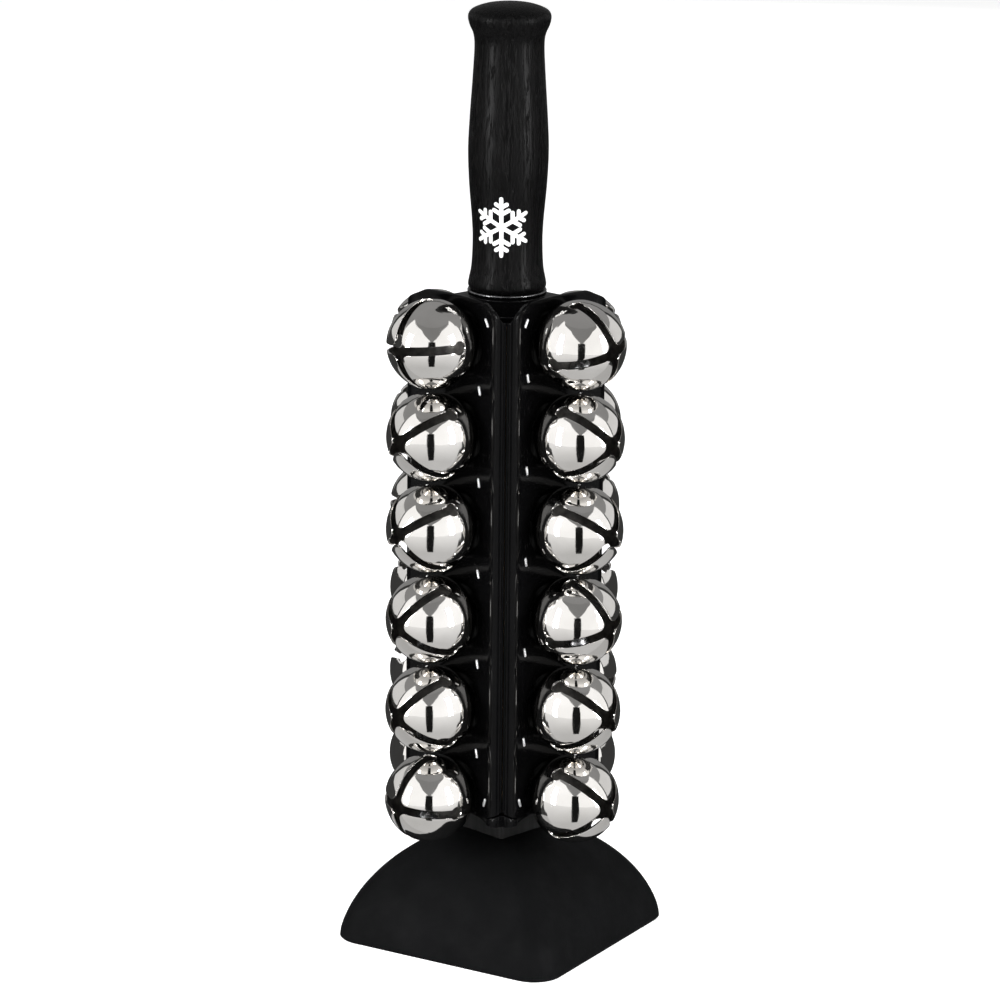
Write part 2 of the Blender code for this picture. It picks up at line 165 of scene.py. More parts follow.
# ---------------------------------------------------------------- helpers


def bell_centre(side, place):
    """Where a bell's ball is centred: its CAD node's box holds the ball and the rivet behind it."""
    low, high = (Vector(corner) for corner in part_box(f"bell_{side}_{place}"))
    outward = side_outward(side)
    outermost = max(low.dot(outward), high.dot(outward))
    middle = (low + high) / 2
    across = outward.cross(Vector((0, 0, 1)))
    reach = outermost + FRAME_BELL_CUT - FRAME_BELL_RADIUS
    return outward * reach + across * middle.dot(across) + Vector((0, 0, middle.z))


def side_turn(side):
    return SIDES.index(side) * math.pi / 2


def side_outward(side):
    turn = side_turn(side)
    return Vector((round(math.sin(turn)), round(-math.cos(turn)), 0))


def side_frame(side):
    """X across a face, Y up, Z out of it."""
    return Matrix.Rotation(side_turn(side), 4, "Z") @ Matrix.Rotation(math.pi / 2, 4, "X")


def mesh_from(name, bm, merge=0.0):
    """A smooth mesh with its faces turned outwards; points closer than merge become one."""
    if merge:
        bmesh.ops.remove_doubles(bm, verts=bm.verts, dist=merge)
    bmesh.ops.recalc_face_normals(bm, faces=bm.faces)
    mesh = bpy.data.meshes.new(name)
    bm.to_mesh(mesh)
    bm.free()
    mesh.shade_smooth()
    return mesh


def add_piece(name, mesh, body, material, replaced=(), matrix=None):
    """A piece of the object, on its body and in place of its CAD nodes."""
    piece = bpy.data.objects.new(name, mesh)
    bpy.context.scene.collection.objects.link(piece)
    if not mesh.materials:
        mesh.materials.append(material)
    if matrix is not None:
        piece.matrix_world = matrix
    bpy.context.view_layer.update()
    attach(piece, body)
    if replaced:
        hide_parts(*replaced)
    return piece


def settle(mesh, *modifiers):
    """The mesh once these modifiers are applied to it. Each is (type, settings)."""
    helper = bpy.data.objects.new("helper", mesh)
    bpy.context.scene.collection.objects.link(helper)
    for kind, settings in modifiers:
        modifier = helper.modifiers.new(kind, kind)
        for key, value in settings.items():
            setattr(modifier, key, value)
    bpy.context.view_layer.update()
    graph = bpy.context.evaluated_depsgraph_get()
    settled = bpy.data.meshes.new_from_object(helper.evaluated_get(graph))
    settled.name = mesh.name
    bpy.data.objects.remove(helper)
    return settled


def shell(thickness, inner_material=0):
    return ("SOLIDIFY", {"thickness": thickness, "offset": -1.0, "material_offset": inner_material})


def soft_edges(width, segments=2, degrees=40):
    settings = {"width": width, "segments": segments, "limit_method": "ANGLE"}
    return ("BEVEL", {**settings, "angle_limit": math.radians(degrees), "harden_normals": False})


def grid(bm, rows):
    """Quads between rows of equally many points."""
    loops = [[bm.verts.new(point) for point in row] for row in rows]
    for low, high in zip(loops, loops[1:]):
        for i in range(len(low) - 1):
            bm.faces.new((low[i], low[i + 1], high[i + 1], high[i]))
    return loops


def lofted(name, rings):
    """Rings of equally many points joined one to the next, and the last to the first."""
    bm = bmesh.new()
    rows = [list(ring) + [ring[0]] for ring in rings]
    grid(bm, [*rows, rows[0]])
    return mesh_from(name, bm, merge=WELD)


def turned(name, profile, segments=96):
    """A profile of (radius, height), from the bottom up, turned round Z."""
    rows = []
    for radius, height in profile:
        angles = [2 * math.pi * i / segments for i in range(segments + 1)]
        rows.append([(radius * math.cos(a), radius * math.sin(a), height) for a in angles])
    bm = bmesh.new()
    grid(bm, rows)
    return mesh_from(name, bm, merge=WELD)


def smooth_path(points, steps):
    """A Catmull-Rom curve through points, with so many steps between each two."""
    points = [Vector(point) for point in points]
    ends = [2 * points[0] - points[1], *points, 2 * points[-1] - points[-2]]
    path = []
    for a, b, c, d in zip(ends, ends[1:], ends[2:], ends[3:]):
        for step in range(steps):
            t = step / steps
            bend = (2 * a - 5 * b + 4 * c - d) * t**2 + (3 * b - a - 3 * c + d) * t**3
            path.append(b + ((c - a) * t + bend) / 2)
    path.append(points[-1])
    return path


# ---------------------------------------------------------------- materials


class Nodes:
    """A material's node tree, with short ways to add and join nodes."""

    def __init__(self, name, **constants):
        self.material = bpy.data.materials.new(name)
        self.material.use_nodes = True
        self.tree = self.material.node_tree
        self.shader = self.tree.nodes["Principled BSDF"]
        for key, value in constants.items():
            self.shader.inputs[key.replace("_", " ")].default_value = value

    def add(self, kind, inputs=None, **settings):
        node = self.tree.nodes.new("ShaderNode" + kind)
        for key, value in settings.items():
            setattr(node, key, value)
        for key, value in (inputs or {}).items():
            self.feed(node.inputs[key], value)
        return node

    def feed(self, socket, value):
        if isinstance(value, bpy.types.NodeSocket):
            self.tree.links.new(value, socket)
        else:
            socket.default_value = value

    def coordinates(self, scale=(1, 1, 1)):
        place = self.add("TexCoord")
        return self.add("Mapping", {"Vector": place.outputs["Object"], "Scale": scale}).outputs["Vector"]

    def noise(self, scale, detail=3.0, stretch=(1, 1, 1), roughness=0.5):
        inputs = {"Scale": scale, "Detail": detail, "Roughness": roughness}
        return self.add("TexNoise", {"Vector": self.coordinates(stretch), **inputs}).outputs["Fac"]

    def ramp(self, value, *stops):
        """A colour ramp through (position, grey or colour) stops."""
        node = self.add("ValToRGB", {"Fac": value})
        elements = node.color_ramp.elements
        while len(elements) < len(stops):
            elements.new(0.5)
        for element, (position, color) in zip(elements, stops):
            element.position = position
            element.color = (*color, 1) if isinstance(color, tuple) else (color, color, color, 1)
        return node.outputs["Color"]

    def bump(self, height, distance, strength=1.0, normal=None):
        inputs = {"Height": height, "Distance": distance, "Strength": strength}
        if normal is not None:
            inputs["Normal"] = normal
        return self.add("Bump", inputs).outputs["Normal"]

    def set(self, name, value):
        self.feed(self.shader.inputs[name], value)


def nickel_material():
    """Bright nickel plate: faint handling marks in its polish, and a slight ripple from stamping."""
    nodes = Nodes("nickel_plate", Metallic=1.0)
    smudge = nodes.noise(260, 4)
    tone = nodes.ramp(nodes.noise(90, 2), (0.3, (0.74, 0.72, 0.69)), (0.7, (0.82, 0.80, 0.775)))
    nodes.set("Base Color", tone)
    nodes.set("Roughness", nodes.ramp(smudge, (0.35, 0.035), (0.75, 0.11)))
    nodes.set("Normal", nodes.bump(nodes.noise(180, 2), 0.00012, 0.25))
    return nodes.material


def bell_inside_material():
    """The unpolished, unplated inside of a bell."""
    nodes = Nodes("bell_inside", Metallic=1.0)
    tone = nodes.ramp(nodes.noise(300, 4), (0.3, (0.12, 0.115, 0.11)), (0.7, (0.26, 0.25, 0.235)))
    nodes.set("Base Color", tone)
    nodes.set("Roughness", nodes.ramp(nodes.noise(500, 3), (0.3, 0.4), (0.7, 0.6)))
    return nodes.material


def gloss_black_material():
    """Moulded, polished black plastic: a little orange peel, a few duller patches."""
    nodes = Nodes("gloss_black_plastic", IOR=1.18)
    tone = nodes.ramp(nodes.noise(60, 3), (0.3, (0.0012, 0.0012, 0.0013)), (0.7, (0.002, 0.002, 0.0022)))
    nodes.set("Base Color", tone)
    nodes.set("Roughness", nodes.ramp(nodes.noise(220, 4), (0.35, 0.07), (0.7, 0.16)))
    nodes.set("Normal", nodes.bump(nodes.noise(700, 2), 0.00006, 0.2))
    return nodes.material


def black_wood_material():
    """Open-grained hardwood under a black stain: long dark pores along the grain, satin between them."""
    nodes = Nodes("black_stained_wood", IOR=1.16)
    grain = nodes.noise(150, 6, stretch=(6, 6, 0.35), roughness=0.65)
    pores = nodes.ramp(nodes.noise(420, 3, stretch=(3.2, 3.2, 0.16), roughness=0.6), (0.50, 0.0), (0.60, 1.0))
    tone = nodes.ramp(grain, (0.3, (0.0009, 0.0009, 0.0010)), (0.75, (0.0034, 0.0033, 0.0034)))
    mix = nodes.add("MixRGB", {"Fac": pores, "Color1": tone, "Color2": (0.0012, 0.0011, 0.0011, 1)})
    nodes.set("Base Color", mix.outputs["Color"])
    nodes.set("Roughness", nodes.ramp(grain, (0.3, 0.27), (0.7, 0.40)))
    fine = nodes.bump(grain, 0.00015, 0.35)
    inverse = nodes.ramp(pores, (0.0, 1.0), (1.0, 0.0))
    nodes.set("Normal", nodes.bump(inverse, 0.0003, 0.6, fine))
    return nodes.material


def rubber_material():
    """Matte moulded rubber: fine grain, a trace of dust and bloom."""
    nodes = Nodes("matte_rubber", IOR=1.15)
    tone = nodes.ramp(nodes.noise(45, 5), (0.3, (0.0022, 0.0024, 0.0026)), (0.75, (0.0036, 0.0038, 0.0042)))
    nodes.set("Base Color", tone)
    nodes.set("Roughness", nodes.ramp(nodes.noise(120, 4), (0.3, 0.62), (0.7, 0.8)))
    coarse = nodes.bump(nodes.noise(900, 3), 0.00015, 0.35)
    nodes.set("Normal", nodes.bump(nodes.noise(2600, 2), 0.00008, 0.5, coarse))
    return nodes.material


def steel_material(name, dark, light, rough):
    """A plain metal, mottled between two greys."""
    nodes = Nodes(name, Metallic=1.0)
    tone = nodes.ramp(nodes.noise(350, 4), (0.3, (dark, dark, dark)), (0.7, (light, light, light * 1.02)))
    nodes.set("Base Color", tone)
    nodes.set("Roughness", nodes.ramp(nodes.noise(600, 3), (0.3, rough), (0.7, rough + 0.15)))
    nodes.set("Normal", nodes.bump(nodes.noise(500, 3), 0.0001, 0.3))
    return nodes.material


def bare_wood_material():
    """Planed hardwood, black at its lower end, which shows below the bottom plate."""
    nodes = Nodes("bare_wood", IOR=1.33)
    grain = nodes.noise(140, 5, stretch=(5, 5, 0.3))
    planed = nodes.ramp(grain, (0.3, (0.34, 0.21, 0.11)), (0.7, (0.52, 0.36, 0.21)))
    height = nodes.add("SeparateXYZ", {"Vector": nodes.coordinates()}).outputs["Z"]
    black_end_band = {"From Min": 54 * MM, "From Max": 56 * MM}
    above = nodes.add("MapRange", {"Value": height, **black_end_band}).outputs["Result"]
    mix = nodes.add("MixRGB", {"Fac": above, "Color1": (0.004, 0.004, 0.004, 1), "Color2": planed})
    nodes.set("Base Color", mix.outputs["Color"])
    nodes.set("Roughness", nodes.ramp(grain, (0.3, 0.55), (0.7, 0.72)))
    nodes.set("Normal", nodes.bump(grain, 0.0002, 0.4))
    return nodes.material


def ink_material():
    """White screen print, a little worn and thin over the grain."""
    nodes = Nodes("white_print")
    wear = nodes.noise(500, 4, stretch=(1, 1, 0.3))
    nodes.set("Base Color", nodes.ramp(wear, (0.25, (0.62, 0.62, 0.62)), (0.4, (0.86, 0.86, 0.855))))
    nodes.set("Roughness", nodes.ramp(wear, (0.3, 0.6), (0.7, 0.45)))
    return nodes.material


NICKEL = nickel_material()
BELL_INSIDE = bell_inside_material()
GLOSS_BLACK = gloss_black_material()
BLACK_WOOD = black_wood_material()
RUBBER = rubber_material()
STEEL = steel_material("zinc_steel", 0.42, 0.6, 0.25)
PELLET_STEEL = steel_material("pellet_steel", 0.3, 0.5, 0.22)
DARK_METAL = steel_material("black_metal", 0.08, 0.3, 0.2)
# Bright metal for the pins that stand in for highlights on the moulding: painted highlights.
HIGHLIGHT_PIN_METAL = steel_material("painted_highlight_metal", 0.86, 0.95, 0.45)
BARE_WOOD = bare_wood_material()
INK = ink_material()


# ---------------------------------------------------------------- bells


def on_ball(polar, azimuth):
    """Unit vector at an angle from the bell's outward axis, Z."""
    return Vector((math.sin(polar) * math.cos(azimuth), math.sin(polar) * math.sin(azimuth), math.cos(polar)))


def keyhole_edge(angle):
    """Unit vector on the rim of the X side's keyhole. Angle 0 points to the crossing, 90 degrees to +Y."""
    centre = on_ball(KEYHOLE_ANGLE, 0)
    down = Vector((math.cos(KEYHOLE_ANGLE), 0, -math.sin(KEYHOLE_ANGLE)))
    reach = KEYHOLE_RADIUS / BELL_RADIUS
    return (centre + reach * (math.sin(angle) * Vector((0, 1, 0)) - math.cos(angle) * down)).normalized()


def petal_side():
    """One long edge of a petal, from its rounded tip along the slot and round a quarter of the keyhole."""
    half = SLOT_WIDTH / 2 / BELL_RADIUS
    tip_out = half + TIP_ROUNDING / BELL_RADIUS
    start = math.asin(math.hypot(tip_out, half))
    meets = math.asin(SLOT_WIDTH / 2 / KEYHOLE_RADIUS)
    end = math.acos(keyhole_edge(meets).z)
    side = []
    for row in range(EDGE_ROWS):
        polar = start + (end - start) * row / EDGE_ROWS
        side.append(Vector((math.sqrt(math.sin(polar) ** 2 - half**2), half, math.cos(polar))))
    for row in range(KEYHOLE_ROWS + 1):
        side.append(keyhole_edge(meets + (math.pi / 2 - meets) * row / KEYHOLE_ROWS))
    return side


def petal_rows():
    """A petal between the slots along X and Y: rows of points, from its tip to the level of the keyholes."""
    side_x = petal_side()
    side_y = [Vector((p.y, p.x, p.z)) for p in side_x]
    half = SLOT_WIDTH / 2 / BELL_RADIUS
    rounding = TIP_ROUNDING / BELL_RADIUS
    tip, base = [], []
    edge = math.atan2(side_x[-1].y, side_x[-1].x)
    polar = math.acos(side_x[-1].z)
    for column in range(PETAL_COLUMNS + 1):
        share = column / PETAL_COLUMNS
        angle = 1.5 * math.pi - share * math.pi / 2
        x = half + rounding * (1 + math.cos(angle))
        y = half + rounding * (1 + math.sin(angle))
        tip.append(Vector((x, y, math.sqrt(1 - x**2 - y**2))))
        base.append(on_ball(polar, edge + share * (math.pi / 2 - 2 * edge)))
    lengths = [0.0]
    for a, b in zip(side_x, side_x[1:]):
        lengths.append(lengths[-1] + (b - a).length)
    rows = []
    for i, (left, right) in enumerate(zip(side_x, side_y)):
        down = lengths[i] / lengths[-1]
        row = []
        for column in range(PETAL_COLUMNS + 1):
            over = column / PETAL_COLUMNS
            ends = (1 - down) * tip[column] + down * base[column] + (1 - over) * left + over * right
            corners = (1 - down) * ((1 - over) * tip[0] + over * tip[-1])
            corners += down * ((1 - over) * base[0] + over * base[-1])
            row.append((ends - corners).normalized())
        rows.append(row)
    return rows


def back_rows(top_row, gap_row):
    """The uncut back of the ball, a quarter of it: from under the petals and keyholes to the rear."""
    top = top_row + gap_row[1:]
    below = KEYHOLE_ANGLE + 1.7 * KEYHOLE_RADIUS / BELL_RADIUS
    belt = [on_ball(below, math.atan2(p.y, p.x)) for p in top]
    rows = []
    for step in range(BELT_ROWS + 1):
        share = step / BELT_ROWS
        rows.append([((1 - share) * a + share * b).normalized() for a, b in zip(top, belt)])
    rear = math.radians(176)
    for step in range(1, BACK_ROWS + 1):
        polar = below + (rear - below) * step / BACK_ROWS
        rows.append([on_ball(polar, math.atan2(p.y, p.x)) for p in belt])
    return rows


def bell_point(unit, seed):
    """Where a direction meets the bell: nearly a ball, a little drawn out in front and dented by stamping."""
    polar = math.acos(max(-1, min(1, unit.z)))
    radius = BELL_RADIUS
    radius += FRONT_RISE * math.exp(-((polar / FRONT_RISE_SPREAD) ** 2))
    # Petals are slightly flatter across than a ball, so their middles sit a little low.
    azimuth = math.atan2(unit.y, unit.x)
    middle = (1 - math.cos(4 * azimuth)) / 2 * math.sin(polar) ** 2
    radius -= PETAL_FLATTENING * middle * (1 if unit.z > 0 else 0.3)
    for quarter in range(4):
        dimple = on_ball(DIMPLE_ANGLE, quarter * math.pi / 2)
        away = (unit - dimple).length * BELL_RADIUS
        radius -= DIMPLE_DEPTH * math.exp(-((away / DIMPLE_SPREAD) ** 2))
    radius += LARGE_DENTS * noise.noise(unit * 2.3 + Vector((seed, 0, 0)))
    radius += SMALL_DENTS * noise.noise(unit * 6.0 + Vector((0, seed, 0)))
    return unit * radius


def bell_mesh(seed):
    """One bell, opening along Z, with its slots along X and Y. The seed moves its dents."""
    petal = petal_rows()
    gap = [keyhole_edge(math.pi / 2 + math.pi * i / GAP_COLUMNS) for i in range(GAP_COLUMNS + 1)]
    # The keyhole on the Y side closes the quarter; its rim runs on round from the petal's last point.
    turn = Matrix.Rotation(math.pi / 2, 3, "Z")
    gap = [turn @ point for point in reversed(gap)]
    bm = bmesh.new()
    for quarter in range(4):
        spin = Matrix.Rotation(quarter * math.pi / 2, 3, "Z")
        for rows in (petal, back_rows(petal[-1], gap)):
            grid(bm, [[bell_point(spin @ point, seed) for point in row] for row in rows])
    bmesh.ops.remove_doubles(bm, verts=bm.verts, dist=1e-6)
    rim = [edge for edge in bm.edges if edge.is_boundary and edge.verts[0].co.z < -0.9 * BELL_RADIUS]
    bmesh.ops.contextual_create(bm, geom=rim)
    mesh = mesh_from(f"bell_{seed}", bm)
    mesh.materials.append(NICKEL)
    mesh.materials.append(BELL_INSIDE)
    return settle(mesh, shell(BELL_WALL, 1), soft_edges(0.2 * MM, 3, 50))


def rivet_mesh():
    """A bell's rivet, along Z: its stem from the bell's back through the panel, and the tail rolled over."""
    # (radius, height) in millimetres, from the tail up
    profile = [
        (0.0, -20.2),
        (1.6, -20.2),
        (2.7, -20.0),
        (3.1, -19.6),
        (2.9, -19.2),
        (1.5, -19.1),
        (1.5, -16.6),
        (2.6, -16.3),
        (2.8, -15.9),
        (0.0, -15.8),
    ]
    mesh = turned("rivet", [(radius * MM, height * MM) for radius, height in profile], 24)
    mesh.materials.append(STEEL)
    return settle(mesh, soft_edges(0.15 * MM, 2, 30))


def pellet_mesh():
    """A tumbled steel slug, not quite round."""
    low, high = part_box("pellet_front_1")
    radius = (high[2] - low[2]) / 2
    bm = bmesh.new()
    bmesh.ops.create_icosphere(bm, subdivisions=4, radius=radius)
    for vert in bm.verts:
        vert.co *= 1 + 0.02 * noise.noise(vert.co / radius * 1.7) - 0.01
    mesh = mesh_from("pellet", bm)
    mesh.materials.append(PELLET_STEEL)
    return mesh


def add_bells():
    """The 24 bells in three shapes by turns, each with its rivet and its pellet."""
    shapes = [bell_mesh(seed) for seed in (3, 11, 19)]
    rivet, pellet = rivet_mesh(), pellet_mesh()
    for side in SIDES:
        for place in PLACES:
            centre = bell_centre(side, place)
            scale = 1.0 if side in ("front", "right") else REAR_BELL_SCALE
            facing = Matrix.Translation(centre) @ side_frame(side) @ Matrix.Scale(scale, 4)
            turn = Matrix.Rotation(math.radians(SLOT_TURNS[side][place - 1]), 4, "Z")
            name = f"bell_{side}_{place}"
            shape = shapes[(SIDES.index(side) + place) % len(shapes)]
            add_piece(f"{name}_shell", shape, "stick", NICKEL, (name,), facing @ turn)
            add_piece(f"rivet_{side}_{place}", rivet, "stick", STEEL, (), facing)
            node = f"pellet_{side}_{place}"
            low, high = (Vector(corner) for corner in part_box(node))
            place_of = Matrix.Translation((low + high) / 2) @ turn
            add_piece(f"{node}_slug", pellet, node, PELLET_STEEL, (node,), place_of)


# ---------------------------------------------------------------- column


PANEL_LOW, PANEL_HIGH = (Vector(corner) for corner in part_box("side_panel_front"))
BELL_OUT = -bell_centre("front", 1).y


def by_corner(reach, aside):
    """(across, out) on a face of a point near its right-hand corner, by its reach along the diagonal."""
    return (reach - aside) / math.sqrt(2), (reach + aside) / math.sqrt(2)


def corner_drop(across, out):
    """How far a panel's end draws back at a point: most at the corner groove, nothing in the trough."""
    aside = max((out - abs(across)) / math.sqrt(2) - GROOVE_HALF_WIDTH, 0.0)
    return CORNER_DROP * max(1 - aside / CORNER_SPAN, 0.0) ** 1.2


def rear_drop(behind):
    """How far the column's rim is drawn down at a distance behind its middle."""
    return REAR_DROP * min(max(behind / REAR_SPAN, 0.0), 1.0)


def trough_out(across, depth=0.0):
    """How far out the plain trough stands, or a line parallel to it at a depth behind it."""
    return TROUGH_BOTTOM + TROUGH_RADIUS - math.sqrt((TROUGH_RADIUS + depth) ** 2 - across**2)


def section_half():
    """The panel's outer surface in plan, from the middle of its face to the mitre."""
    columns = 36
    points = []
    for step in range(columns + 1):
        across = step / columns * TROUGH_HALF_SPAN
        points.append((across, trough_out(across)))
    # The trough swings up into the ridge's rounded strip, which turns down into the groove.
    # (reach, aside) in millimetres
    ridge = ((34.5, 4.85), (35.25, 4.1), (35.75, 3.3), (35.97, 2.5), (36.0, 1.7), (35.9, 1.15), (35.6, 1.0))
    ridge = [Vector(by_corner(reach * MM, aside * MM)) for reach, aside in ridge]
    start = [Vector(point) for point in points[-2:]]
    path = smooth_path([*start, *ridge], 3)[3:]
    points[-1:] = [tuple(point) for point in path]
    floor = CORNER_REACH - GROOVE_DEPTH
    points += [by_corner(35.1 * MM, 0.95 * MM), by_corner(floor + 0.1 * MM, 0.9 * MM)]
    points += [by_corner(floor, 0.7 * MM), by_corner(floor, 0.4 * MM), by_corner(floor, GAP / 2)]
    return points


def smaller(a, b, blend):
    """The lesser of two heights, rounded over where they cross."""
    return -blend * math.log(math.exp(-a / blend) + math.exp(-b / blend))


def panel_relief(across, up, out, heights, high):
    """How far out the trough's surface stands at a point: a cup behind each bell, and a rolled end."""
    plain = out
    end = min(up - PANEL_LOW.z, high - up)
    out += END_ROLL * math.exp(-((end / END_ROLL_SPREAD) ** 2))
    nearest = min(heights, key=lambda height: abs(height - up))
    away = math.hypot(across, up - nearest)
    if away < CUP_RADIUS * 0.98:
        cup = BELL_OUT - math.sqrt(CUP_RADIUS**2 - away**2)
        out = smaller(out, cup, CUP_BLEND)
    fade = min((TROUGH_HALF_SPAN - abs(across)) / RELIEF_FADE, 1.0)
    return plain + (out - plain) * fade


def panel_mesh(heights, towards):
    """A panel in its face's frame, X across, Y up, Z out, for bells at these heights.

    On a rear face, towards gives the hand of the front along X; on a front face it is 0.
    """
    half = section_half()
    section = [(-a, b) for a, b in reversed(half[1:])] + half
    rows_up = 240
    rows = []
    for row in range(rows_up + 1):
        share = row / rows_up
        points = []
        for across, out in section:
            drop = corner_drop(across, out)
            high = PANEL_HIGH.z
            if towards:
                high -= rear_drop((out - towards * across) / math.sqrt(2))
            low = PANEL_LOW.z + LOW_CORNER_RISE * drop
            up = low + share * (high - drop - low)
            if abs(across) < TROUGH_HALF_SPAN:
                out = panel_relief(across, up, out, heights, high)
            points.append((across, up, out))
        rows.append(points)
    bm = bmesh.new()
    grid(bm, rows)
    mesh = mesh_from("side_panel", bm)
    if mesh.polygons[len(mesh.polygons) // 2].normal.z < 0:
        mesh.flip_normals()
    mesh.materials.append(GLOSS_BLACK)
    return settle(mesh, shell(PANEL_SKIN), soft_edges(0.3 * MM, 2, 60))


def highlight_pin_mesh():
    """A short bright pin lying along Y: a half-round bar with round ends. It is a painted highlight, standing
    in for a highlight on the gloss moulding.
    """
    bm = bmesh.new()
    bmesh.ops.create_uvsphere(bm, u_segments=20, v_segments=12, radius=HIGHLIGHT_PIN_WIDTH / 2)
    for vert in bm.verts:
        if abs(vert.co.y) > WELD:
            vert.co.y += math.copysign((HIGHLIGHT_PIN_LENGTH - HIGHLIGHT_PIN_WIDTH) / 2, vert.co.y)
        vert.co.z *= 0.7
    mesh = mesh_from("highlight_pin", bm)
    mesh.materials.append(HIGHLIGHT_PIN_METAL)
    return mesh


def highlight_pin_places(heights):
    """(across, up, lean) of the pins on a face, set where highlights show on the moulding, as painted
    highlights: a pair near each gap, and a leaning pair at each end.
    """
    places = []
    for upper, lower in zip(heights, heights[1:]):
        middle = (upper + lower) / 2
        places += [(12.4 * MM, middle, 15.0), (-15.5 * MM, middle + 5.4 * MM, 15.0)]
    for hand in (-1, 1):
        places.append((hand * 16.8 * MM, heights[0] + 8.8 * MM, hand * 36.0))
        places.append((hand * 18.0 * MM, heights[-1] - 0.3 * MM, hand * -24.0))
    return places


def add_panels():
    """The four troughs, the rear two drawn down towards the back, and the bright pins set in them as painted
    highlights.
    """
    highlight_pin = highlight_pin_mesh()
    shapes = {}
    for side in SIDES:
        heights = [bell_centre(side, place).z for place in PLACES]
        towards = {"left": 1, "back": -1}.get(side, 0)
        if towards not in shapes:
            shapes[towards] = panel_mesh(heights, towards)
        node = f"side_panel_{side}"
        name = f"{node}_moulding"
        add_piece(name, shapes[towards], "stick", GLOSS_BLACK, (node,), side_frame(side))
        # Each pin is a bright mark standing in for a highlight on the gloss moulding: a painted highlight.
        for i, (across, up, lean) in enumerate(highlight_pin_places(heights), 1):
            place = Matrix.Translation((across, up, trough_out(across)))
            turn = Matrix.Rotation(-math.asin(across / TROUGH_RADIUS), 4, "Y")
            turn @= Matrix.Rotation(math.radians(lean), 4, "Z")
            name = f"pin_{side}_{i}"
            add_piece(name, highlight_pin, "stick", HIGHLIGHT_PIN_METAL, (), side_frame(side) @ place @ turn)


def column_outline(half):
    """The whole column in plan, from half of one face's (across, out) points."""
    face = [(-a, b) for a, b in reversed(half[1:])] + list(half)
    outline = []
    for side in SIDES:
        turn = side_turn(side)
        for across, out in face:
            x = across * math.cos(turn) + out * math.sin(turn)
            outline.append(Vector((x, across * math.sin(turn) - out * math.cos(turn), 0)))
    return outline


def inside_half(depth, narrower, corner_gap):
    """A line inside the panels, for the plates let in between them."""
    columns, corner_steps = 24, 6
    points = []
    for step in range(columns + 1):
        across = step / columns * (TROUGH_HALF_SPAN - narrower)
        points.append((across, trough_out(across, depth)))
    across, out = points[-1]
    reach, aside = (across + out) / math.sqrt(2), (out - across) / math.sqrt(2)
    for step in range(1, corner_steps + 1):
        points.append(by_corner(reach, aside + (corner_gap - aside) * step / corner_steps))
    return points


def cap_height(point, high):
    """How high the top cap's cone stands over a point: it climbs from the corners to the boss."""
    slope = (high - CAP_CORNER_Z) / (CORNER_REACH - BOSS_RADIUS)
    return CAP_CORNER_Z + (CORNER_REACH - point.length) * slope - rear_drop(-point.dot(FORWARD))


def add_top_cap():
    """The coned cap between the panels' top rims, its edge rolled over, with a low boss for the collar."""
    low, high = (Vector(corner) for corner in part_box("top_cap"))
    outline = column_outline(inside_half(2.1 * MM, 1.4 * MM, 0.5 * MM))
    hole = TENON_RADIUS + 0.4 * MM
    rings = [[point + Vector((0, 0, low.z)) for point in outline]]
    for inset, sink in ((0.0, 0.5 * MM), (0.2 * MM, 0.12 * MM), (0.6 * MM, 0.0)):
        ring = []
        for point in outline:
            height = cap_height(point, high.z) - sink
            ring.append(point * (1 - inset / point.length) + Vector((0, 0, height)))
        rings.append(ring)
    for share in (0.25, 0.5, 0.75, 1.0):
        ring = []
        for point in outline:
            reach = point.length
            inner = point / reach * (reach + share * (BOSS_RADIUS + 0.1 * MM - reach))
            ring.append(inner + Vector((0, 0, cap_height(inner, high.z))))
        rings.append(ring)
    for radius, height in ((BOSS_RADIUS - 0.1 * MM, high.z), (hole, high.z), (hole, low.z)):
        rings.append([point.normalized() * radius + Vector((0, 0, height)) for point in outline])
    mesh = lofted("top_cap", rings)
    mesh.set_sharp_from_angle(angle=math.radians(50))
    add_piece("top_cap_moulding", mesh, "stick", GLOSS_BLACK, ("top_cap",))


def add_bottom_plate():
    """The plate under the panels; its corners rise to meet theirs."""
    low, _ = (Vector(corner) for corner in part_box("bottom_plate"))
    groove_points = 5
    half = section_half()[:-groove_points]
    face = [(-a, b) for a, b in reversed(half[1:])] + half
    inset, straight = 2.6 * MM, 19.5 * MM
    drops = [corner_drop(*point) for point in face] * 4
    narrowed = []
    for across, out in half:
        # The sides draw in between the corners, clear of the lowest bells.
        share = max(0.0, 1 - (across / straight) ** 4)
        narrowed.append((across, out - inset * share))
    outline = column_outline(narrowed)
    # (inset in millimetres, height, share of the corners' rise)
    levels = (
        (0.6, low.z, 0.0),
        (0.15, low.z + 0.15 * MM, 0.0),
        (0.0, low.z + 0.6 * MM, 0.0),
        (0.0, PANEL_LOW.z - 1.0 * MM, 1.0),
        (0.2, PANEL_LOW.z - 0.6 * MM, 1.0),
        (0.6, PANEL_LOW.z - 0.45 * MM, 1.0),
    )
    rings = []
    for shrink, height, rise in levels:
        ring = []
        for point, drop in zip(outline, drops):
            lift = rise * 0.93 * LOW_CORNER_RISE * drop
            ring.append(point * (1 - shrink * MM / point.length) + Vector((0, 0, height + lift)))
        rings.append(ring)
    hole = 11.8 * MM
    for height in (PANEL_LOW.z - 0.6 * MM, low.z):
        ring = []
        for point in outline:
            ring.append(point * (hole / max(abs(point.x), abs(point.y))) + Vector((0, 0, height)))
        rings.append(ring)
    mesh = lofted("bottom_plate", rings)
    mesh.set_sharp_from_angle(angle=math.radians(50))
    add_piece("bottom_plate_moulding", mesh, "stick", GLOSS_BLACK, ("bottom_plate",))


